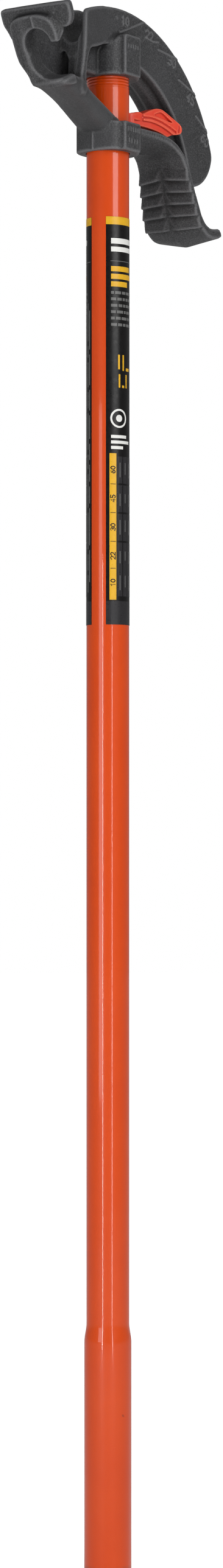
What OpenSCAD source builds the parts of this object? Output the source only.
// Hand conduit bender: a one-piece iron head screwed on a steel pipe handle,
// with a swing-out angle setter on a shoulder screw.
// Origin: centre of the handle's open lower end. +Z runs up the handle, the
// hook points to -X, the foot pedal to +X, and the marked side faces -Y.

/* [Handle] */
// Outside diameter of the handle pipe
handle_d = 26.67; // [26.2:0.05:27]
// Wall thickness of the handle pipe
handle_wall = 2.2; // [1.8:0.1:2.6]
// Length of the handle pipe
handle_len = 950; // [940:1:950]
// Outside diameter of the flared lower end
flare_d = 29.4; // [28.4:0.1:30]
// Length of the straight part of the flare
flare_len = 142; // [100:1:160]
// Length of the taper from the flare to the pipe
flare_taper = 11.5; // [8:0.5:20]
// Rounding of the pipe's lower lip
lip_round = 1; // [0.5:0.1:1]

/* [Handle label] */
// Height of the label's lower edge
label_z = 588; // [560:1:600]
// Height of the label itself
label_h = 254; // [200:1:254]
// Thickness of the label
label_t = 0.2; // [0.1:0.05:0.3]
// Angle about the handle at which the label's gap starts
label_gap_from = 165; // [160:1:170]
// Width of the label's gap, in degrees
label_gap = 44; // [30:1:50]

/* [Bending shoe] */
// Centreline radius of the finished bend
bend_r = 101.6; // [101:0.1:102]
// Radius of the groove, for half-inch thin-wall conduit
groove_r = 9.3; // [9.1:0.05:9.5]
// Radius of the shoe's outer rim
rim_r = 110.5; // [109:0.5:112]
// Inner radius of the shoe
shoe_in_r = 79.5; // [79.5:0.5:81]
// Width of the shoe
shoe_w = 25; // [24:0.5:26]
// Angle of the conduit at the hook, below the horizontal
hook_angle = 25; // [24:0.5:26]
// Angle at which the full shoe ends in a rounded lobe
shoe_end = 64; // [60:1:66]
// Height by which the degree marks stand proud
mark_h = 0.6; // [0.4:0.1:0.8]

/* [Hook] */
// Distance from the tangent point to the hook's end face
hook_reach = 34; // [33:0.5:35]
// Length of the hook's curled lip along the conduit
hook_len = 12; // [10:0.5:13]
// Outer radius of the curled hook
hook_r = 16; // [15.5:0.1:16.5]
// Width of the foot plate on the hook
plate_w = 50.4; // [48:0.2:54]
// Thickness of the foot plate
plate_t = 5; // [4.5:0.1:6]

/* [Handle sockets] */
// Outer radius of the socket and the collar
socket_r = 19.8; // [19:0.1:20]
// Half width across the flat side faces
socket_flat = 19.5; // [19:0.1:19.6]
// Height at which the threaded socket starts
socket_z = 930; // [929:0.5:931]
// Height at which the collar starts
collar_z = 883; // [882:0.5:884]
// Height of the collar
collar_h = 18; // [17:0.5:18]

/* [Foot pedal] */
// Number of grooves across the tread
tread_grooves = 6; // [4:1:6]
// Spacing of the grooves down the tread
tread_step = 6.9; // [6.5:0.1:7]

/* [Angle setter] */
// Distance of the pivot from the handle's axis
pivot_x = 22; // [21.5:0.1:22.5]
// Radius of the setter's hub
hub_r = 7; // [6.5:0.1:7.2]
// Radius of the pivot screw's shoulder
pin_r = 3; // [2.8:0.1:3.2]
// Radius of the pivot screw's head
head_r = 4.9; // [4.5:0.1:5]
// Radial clearance of the setter on the shoulder
pin_gap = 0.05; // [0.03:0.01:0.1]

/* [Hidden] */
$fn = 96;
iron = [0.27, 0.27, 0.28];
orange = [0.85, 0.33, 0.16];
steel = [0.62, 0.63, 0.65];
arc_c = [-3, 861.5];                       // centre of the bend, in X and Z
hr = handle_d / 2;
thread_r = hr - 0.4;                       // mean radius of the pipe thread
bore_top = 951;                            // blind end of the threaded socket
arm_top = collar_z + collar_h;             // level top of the pedal arm
ca = cos(hook_angle);
sa = sin(hook_angle);
tangent = [arc_c[0] - bend_r * sa, arc_c[1] + bend_r * ca];

// Extrude an outline drawn in X and Z, centred on the bending plane
module slab(w) {
    rotate([90, 0, 0]) linear_extrude(height = w, center = true) children();
}

// Put a child drawn along Y, about the origin, on the bend's centre
module at_arc() {
    translate([arc_c[0], 0, arc_c[1]]) rotate([90, 0, 0]) children();
}

// Child frame at the tangent point: +Z along the conduit out of the hook,
// +X away from the handle's foot end, +Y across the shoe
module at_hook(t = 0) {
    translate([tangent[0] - t * ca, 0, tangent[1] - t * sa])
        rotate([0, -90 - hook_angle, 0]) children();
}

// Sector between two angles measured from straight up, towards +X
module sector(a0, a1, r = 140) {
    n = 8;
    polygon(concat([[0, 0]],
        [for (i = [0 : n]) let (a = a0 + (a1 - a0) * i / n)
            [r * sin(a), r * cos(a)]]));
}

// Ring between two radii about the bend's centre, cut to a sector
module ring(r0, r1, w, a0, a1) {
    intersection() {
        at_arc() difference() {
            cylinder(r = r1, h = w, center = true, $fn = 200);
            cylinder(r = r0, h = w + 2, center = true, $fn = 200);
        }
        translate([arc_c[0], 0, arc_c[1]]) slab(w + 4) sector(a0, a1);
    }
}

// Rounded end of the shoe under the last degree mark
module shoe_lobe() {
    intersection() {
        at_arc() difference() {
            cylinder(r = rim_r, h = shoe_w, center = true, $fn = 200);
            cylinder(r = shoe_in_r, h = shoe_w + 2, center = true, $fn = 200);
        }
        translate([77, 0, 898]) rotate([90, 0, 0])
            cylinder(r = 25.3, h = shoe_w + 4, center = true);
    }
}

// Groove that the conduit lies in, straight through the hook, then round
module groove() {
    at_arc() rotate_extrude($fn = 200) union() {
        translate([bend_r, 0]) circle(r = groove_r, $fn = 64);
        translate([bend_r, -groove_r]) square([20, 2 * groove_r]);
    }
}

// Socket or collar: a boss with a blunt front and a raised pad on the marked side
module boss(z, h) {
    translate([0, 0, z]) linear_extrude(height = h) {
        intersection() {
            circle(r = socket_r);
            translate([-17, -socket_flat + 1.3]) square([40, 2 * socket_flat - 2.6]);
        }
        translate([-9, -socket_flat]) square([16.8, 10]);
    }
}

// Foot pedal and its arm, lofted through sections from the collar to the lip.
// Each row: back or top point, front or lower edge point, middle ridge, half width
pedal_rows = [
    [[2, 901], [2, 898], [2, 885], 12.5],
    [[20, 901], [20, 897.5], [20, 887], 13.5],
    [[35, 900.5], [34.5, 897], [34, 888.5], 15.5],
    [[47, 898.5], [45.5, 895], [45, 889.5], 16.8],
    [[56, 895], [54.5, 891.8], [54, 889], 17.3],
    [[63, 888.5], [60.6, 887], [59.8, 885.5], 17.8],
    [[67.2, 880], [63.4, 879], [62.6, 878.5], 18.6],
    [[70.4, 870], [66.8, 869], [64.8, 868.8], 19.6],
    [[73.8, 860.5], [70.2, 859], [67.4, 859], 20.6],
    [[76.8, 853], [73.2, 850.6], [71.2, 850], 21.2],
    [[80.5, 848.2], [77.4, 844.6], [74.6, 841.5], 21.5],
    [[86, 846], [84, 840.8], [80.5, 837], 21.5],
    [[92, 846.3], [91, 840], [90, 836], 21.3],
    [[98, 847.5], [98.5, 841.2], [98, 838.6], 20.8],
    [[101.2, 845.6], [101.6, 843], [101.4, 841.4], 19.6]];

function pedal_ring(r) = [
    [r[0][0], -r[3], r[0][1]], [r[1][0], -r[3], r[1][1]], [r[2][0], 0, r[2][1]],
    [r[1][0], r[3], r[1][1]], [r[0][0], r[3], r[0][1]]];

module loft(rings) {
    n = len(rings);
    m = len(rings[0]);
    polyhedron(
        points = [for (r = rings) each r],
        faces = concat(
            [[for (j = [0 : m - 1]) j]],
            [for (i = [0 : n - 2]) for (j = [0 : m - 1]) each [
                [i * m + j, (i + 1) * m + j, (i + 1) * m + (j + 1) % m],
                [i * m + j, (i + 1) * m + (j + 1) % m, i * m + (j + 1) % m]]],
            [[for (j = [m - 1 : -1 : 0]) (n - 1) * m + j]]));
}

module pedal() {
    difference() {
        loft([for (r = pedal_rows) pedal_ring(r)]);
        // sawtooth grooves across the tread
        for (i = [0 : tread_grooves - 1])
            translate([61.4 + i * 2.45, 0, 876 - i * tread_step])
                rotate([0, -70, 0]) rotate([0, 0, 45])
                    rotate([0, 0, -45]) translate([-1, -30, 0]) cube([2, 60, 2.6]);
    }
}

// Curled hook, its foot plate and the wall that joins them to the shoe
module hook() {
    // curled part, open towards the marked side below the conduit's middle
    at_hook(hook_reach - hook_len) linear_extrude(height = hook_len) {
        intersection() {
            translate([0.5, 1.5]) circle(r = hook_r);
            translate([0, -30]) square([30, 60]);
        }
        polygon([[2, 16.8], [-4, 18], [-10, 17], [-16, 14], [-20, 11], [-24, 7.5],
            [-27, 2], [-27.4, -11.8], [-23.2, -11.8], [-23.5, -9], [-22.5, -3],
            [-18, 5], [-7, 8.8], [2, 8.8]]);
    }
    // foot plate, with its lower corners cut back
    at_hook(hook_reach - 10.3) linear_extrude(height = plate_t) polygon([
        [21.7, -plate_w / 2 + 2], [21.7, plate_w / 2 - 2], [19.7, plate_w / 2],
        [12, plate_w / 2 - 0.6], [4, plate_w / 2 - 7.2], [4, 8], [10, -10],
        [9, -plate_w / 2 + 5], [15, -plate_w / 2 + 0.6], [19.7, -plate_w / 2]]);
    // thicker wall behind the curl
    at_hook(8) linear_extrude(height = hook_reach - 12) polygon([
        [14, 9.3], [10, 15], [3, 17.4], [-4, 17.7], [-10, 16.3], [-14.3, 11.7],
        [-14.3, 9.3]]);
    // wall on the plain side, from the hook back to the shoe and down to the arm
    translate([0, 10.9, 0]) slab(3.2) polygon([
        [-78.6, 956], [-82.2, 953], [-68.6, 922], [-62, 916],
        [-30, 925], [-16, 940], [-16, 971.2], [-30, 968.6], [-42, 965]]);
}

// Front wall of the marked side, and the web between the hook and the socket
module front_web() {
    translate([0, -9.75, 0]) slab(5.5) polygon([
        [-42.5, 964.5], [-57, 922.4], [-50.5, 919.8], [-44, 930], [-20, 930],
        [-20, 962]]);
    slab(11) polygon([
        [-44.5, 958], [-53, 931], [-48, 925], [-40, 930], [10, 930], [10, 950],
        [-20, 962]]);
    // floor of the hook's cavity, down to the arm
    slab(17) polygon([
        [-51, 932], [-56.5, 921], [-50, 914], [-40, 911], [-38, 917], [-44, 928]]);
    ring(88, rim_r, shoe_w, -21, 8);
}

// Bar that carries the hook down to the collar
module front_arm() {
    slab(shoe_w) polygon([
        [-68.8, 921.4], [-57, 923.6], [-34, 914.4], [-10, 903.4], [0, 901],
        [0, 889], [-17, 894.6], [-41.5, 909], [-60, 915], [-66.4, 917.6]]);
}

// Web from the pedal's back to the end of the shoe
module rear_web() {
    slab(8) polygon([
        [40, 899.6], [56, 894], [64, 884], [68, 874], [71, 866], [78, 873],
        [86, 884], [76, 905], [69, 911], [60, 903]]);
}

// Straight raised marks beside the groove, one for each bend angle
module degree_marks() {
    for (s = [-1, 1]) for (m = [
        [8.5, 962.8, 18, 31], [48, 952, 3, 24], [35, 957, 10, 14],
        [73, 934.5, -17, 24], [91.5, 912.5, -31, 24]])
        translate([m[0], s * (shoe_w / 2 + mark_h / 2 - 0.3), m[1]])
            rotate([0, -m[2], 0]) cube([m[3] * 0.8, mark_h + 0.6, 1.2], center = true);
}

module bender_head() {
    color(iron) difference() {
        union() {
            ring(shoe_in_r, rim_r, shoe_w, 6, shoe_end);
            shoe_lobe();
            ring(shoe_in_r - 2.5, shoe_in_r + 1, 7, 12, 76);
            front_web();
            hook();
            front_arm();
            boss(collar_z, collar_h);
            boss(socket_z, 25);
            pedal();
            rear_web();
            degree_marks();
        }
        intersection() {
            groove();
            translate([arc_c[0], 0, arc_c[1]]) slab(60) sector(-hook_angle, 120, 160);
        }
        // straight run of the groove through the hook
        at_hook(-2) cylinder(r = groove_r, h = hook_reach + 4);
        at_hook(-2) translate([0, -groove_r, 0]) cube([30, 2 * groove_r, 22.5]);
        // threaded socket and plain collar bore for the handle
        translate([0, 0, socket_z - 2]) cylinder(r = thread_r, h = bore_top - socket_z + 2);
        translate([0, 0, collar_z - 8]) cylinder(r = hr + 0.3, h = 46);
        // blind threaded hole for the pivot screw
        translate([pivot_x, 0, arm_top - 9]) cylinder(r = pin_r - 0.5, h = 12, $fn = 48);
        translate([pivot_x, 0, arm_top]) cylinder(r = hub_r + 0.6, h = 20, $fn = 48);
    }
}

module handle_tube() {
    ri = hr - handle_wall;
    fr = flare_d / 2;
    fi = fr - handle_wall;
    pitch = 1.814;
    z0 = 921;
    color(orange) rotate_extrude() polygon(concat(
        [[fi, 0], [fr - lip_round, 0], [fr, lip_round], [fr, flare_len],
         [hr, flare_len + flare_taper], [hr, z0 - 1]],
        [for (i = [0 : 4]) each [[thread_r - 0.25, z0 + i * pitch],
                                 [thread_r + 0.25, z0 + (i + 0.5) * pitch]]],
        [[thread_r, socket_z + 0.6], [thread_r, handle_len], [ri, handle_len],
         [ri, flare_len + flare_taper + 1], [fi, flare_len - 1]]));
}

module handle_label() {
    color([0.12, 0.11, 0.1]) translate([0, 0, label_z])
        rotate([0, 0, label_gap_from + label_gap])
            rotate_extrude(angle = 360 - label_gap)
                translate([hr, 0]) square([label_t, label_h]);
}

// Swing-out setter: a hub on the screw, a neck and a ribbed pointer
module angle_setter() {
    z0 = arm_top + 1.3;
    color([0.88, 0.27, 0.18]) difference() {
        union() {
            translate([pivot_x, 0, z0]) cylinder(r = hub_r, h = 9, $fn = 64);
            // neck from the hub to the raised finger rest
            hull() {
                translate([pivot_x + 3, -1, z0]) cylinder(r = 5, h = 8, $fn = 32);
                translate([34, -8, z0]) cylinder(r = 5.5, h = 9, $fn = 32);
            }
            // raised body
            hull() {
                translate([31, -7, z0 + 0.5]) cylinder(r = 5, h = 10, $fn = 32);
                translate([40, -9.5, z0]) cylinder(r = 4.6, h = 13, $fn = 32);
                translate([56, -11.6, z0 + 0.2]) cylinder(r = 3.2, h = 5.6, $fn = 32);
            }
        }
        translate([pivot_x, 0, z0 - 1]) cylinder(r = pin_r + pin_gap, h = 20, $fn = 64);
        // seat for the washer and the screw's head
        translate([pivot_x, 0, z0 + 5.7]) cylinder(r = head_r + 0.4, h = 20, $fn = 64);
    }
}

module pivot_screw() {
    color(steel) difference() {
        union() {
            translate([pivot_x, 0, arm_top - 8]) cylinder(r = pin_r - 0.5, h = 8.2, $fn = 48);
            translate([pivot_x, 0, arm_top]) cylinder(r = pin_r, h = 8, $fn = 64);
            translate([pivot_x, 0, arm_top + 8]) cylinder(r = head_r, h = 2.4, $fn = 48);
        }
        translate([pivot_x, 0, arm_top + 9]) cylinder(r = 1.7, h = 3, $fn = 6);
    }
}

// Ring washer about the pivot
module washer(z, r, t) {
    translate([pivot_x, 0, z]) difference() {
        cylinder(r = r, h = t, $fn = 64);
        translate([0, 0, -1]) cylinder(r = pin_r + 0.1, h = t + 2, $fn = 64);
    }
}

module top_washer() { color(steel) washer(arm_top + 7.1, head_r + 0.1, 0.9); }

module friction_washer() { color(steel) washer(arm_top, 6.4, 1.2); }

bender_head();
handle_tube();
handle_label();
angle_setter();
pivot_screw();
top_washer();
friction_washer();
